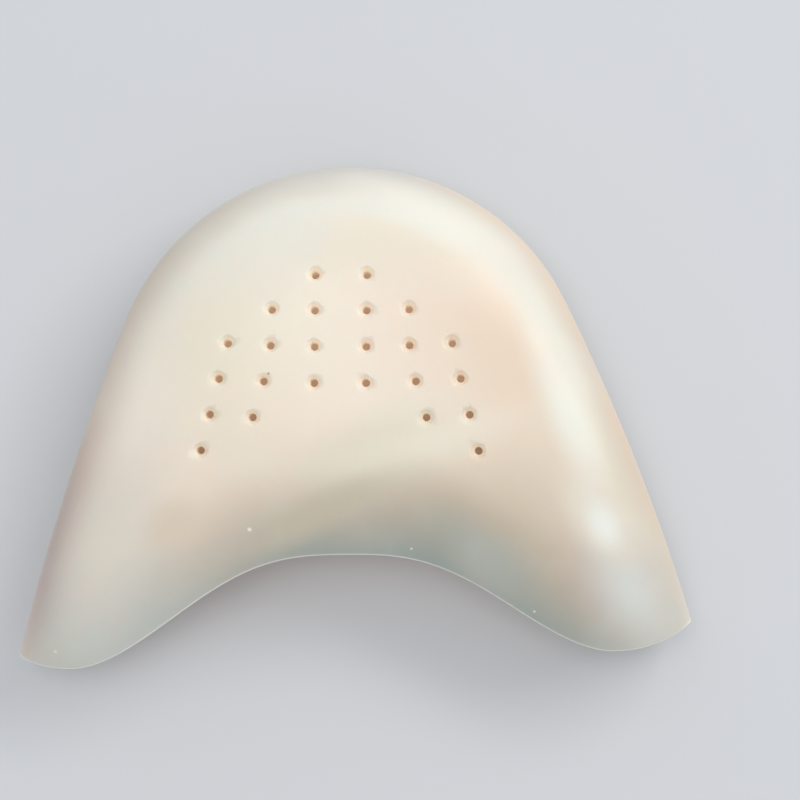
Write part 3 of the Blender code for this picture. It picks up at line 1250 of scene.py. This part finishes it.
@dataclass(frozen=True)
class SoftBox:
    """One large soft light, aimed at the cap."""

    name: str
    place: tuple[float, float, float]
    width: float
    height: float
    power: float
    colour: tuple[float, float, float] = (1.0, 1.0, 1.0)

    def build(self, target: Vector) -> bpy.types.Object:
        """Hang the light.

        Args:
            target: the point that it faces.

        Returns:
            The light.
        """
        data = bpy.data.lights.new(self.name, "AREA")
        data.shape = "RECTANGLE"
        data.size = self.width
        data.size_y = self.height
        data.energy = self.power
        data.color = self.colour
        light = new_object(self.name, data)
        light.location = self.place
        aim = target - Vector(self.place)
        light.rotation_euler = aim.to_track_quat("-Z", "Y").to_euler()
        return light


@dataclass(frozen=True)
class Camera:
    """The camera above the cap, nearly straight down."""

    distance: float = 0.3804
    toward_foot: float = math.radians(4.49)
    toward_right: float = math.radians(3.65)
    roll: float = math.radians(-0.48)
    target: tuple[float, float, float] = (0.00893, 0.00255, 0.0100)
    lens: float = 100.2
    sensor: float = 36.0
    nearest: float = 0.01

    def build(self) -> bpy.types.Object:
        """Set the camera.

        Returns:
            The scene's camera.
        """
        x, y = math.sin(self.toward_right), -math.sin(self.toward_foot)
        back = Vector((x, y, math.sqrt(1 - x * x - y * y)))
        right = Vector((0, 1, 0)).cross(back).normalized()
        up = back.cross(right)
        cosine, sine = math.cos(self.roll), math.sin(self.roll)
        across = right * cosine + up * sine
        upward = up * cosine - right * sine
        matrix = Matrix((across, upward, back)).transposed().to_4x4()
        matrix.translation = Vector(self.target) + back * self.distance
        data = bpy.data.cameras.new("camera")
        data.lens = self.lens
        data.sensor_width = self.sensor
        data.clip_start = self.nearest
        camera = new_object("camera", data)
        camera.matrix_world = matrix
        bpy.context.scene.camera = camera
        return camera


@dataclass(frozen=True)
class Studio:
    """A plain pale floor, soft light and the camera."""

    floor_half: float = 3.0
    floor_colour: Colour = (212, 213, 215)
    floor_roughness: float = 0.85
    floor_gloss: float = 0.2
    sky_colour: Colour = (205, 208, 212)
    sky_strength: float = 1.0
    camera: Camera = Camera()
    lights: tuple[SoftBox, ...] = (
        SoftBox("key", (0.80, 0.58, 0.68), 0.90, 0.26, 5.6),
        SoftBox("top", (-0.10, 0.05, 1.30), 0.70, 0.70, 3.0),
    )
    target: tuple[float, float, float] = (0.0, 0.0, 0.01)

    def floor(self) -> bpy.types.Object:
        """Lay the floor.

        Returns:
            The floor.
        """
        half = self.floor_half
        mesh = bpy.data.meshes.new("floor")
        corners = [(-half, -half, 0), (half, -half, 0), (half, half, 0), (-half, half, 0)]
        mesh.from_pydata(corners, [], [(0, 1, 2, 3)])
        floor = new_object("floor", mesh)
        material = bpy.data.materials.new("floor_paint")
        material.use_nodes = True
        shader = material.node_tree.nodes["Principled BSDF"]
        shader.inputs["Base Color"].default_value = linear(*self.floor_colour)
        shader.inputs["Roughness"].default_value = self.floor_roughness
        shader.inputs["Specular IOR Level"].default_value = self.floor_gloss
        mesh.materials.append(material)
        return floor

    def build(self) -> None:
        """Set the floor, the sky, the lights and the camera."""
        self.floor()
        scene = bpy.context.scene
        scene.world = scene.world or bpy.data.worlds.new("sky")
        scene.world.use_nodes = True
        sky = scene.world.node_tree.nodes["Background"]
        sky.inputs["Color"].default_value = linear(*self.sky_colour)
        sky.inputs["Strength"].default_value = self.sky_strength
        for light in self.lights:
            light.build(Vector(self.target))
        self.camera.build()
        scene.view_settings.view_transform = "Standard"


def main() -> None:
    """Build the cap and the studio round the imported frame."""
    logging.basicConfig(level=logging.INFO, format="%(name)s: %(message)s")
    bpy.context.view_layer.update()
    LOG.info("packed nodes: %d", len(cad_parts))
    surface = CapSurface(tip_y=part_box(NODE)[1].y)
    Studio().build()
    cap = GelCap(surface).build()
    LOG.info("%s: %d faces", cap.name, len(cap.data.polygons))


if __name__ == "__main__":
    main()
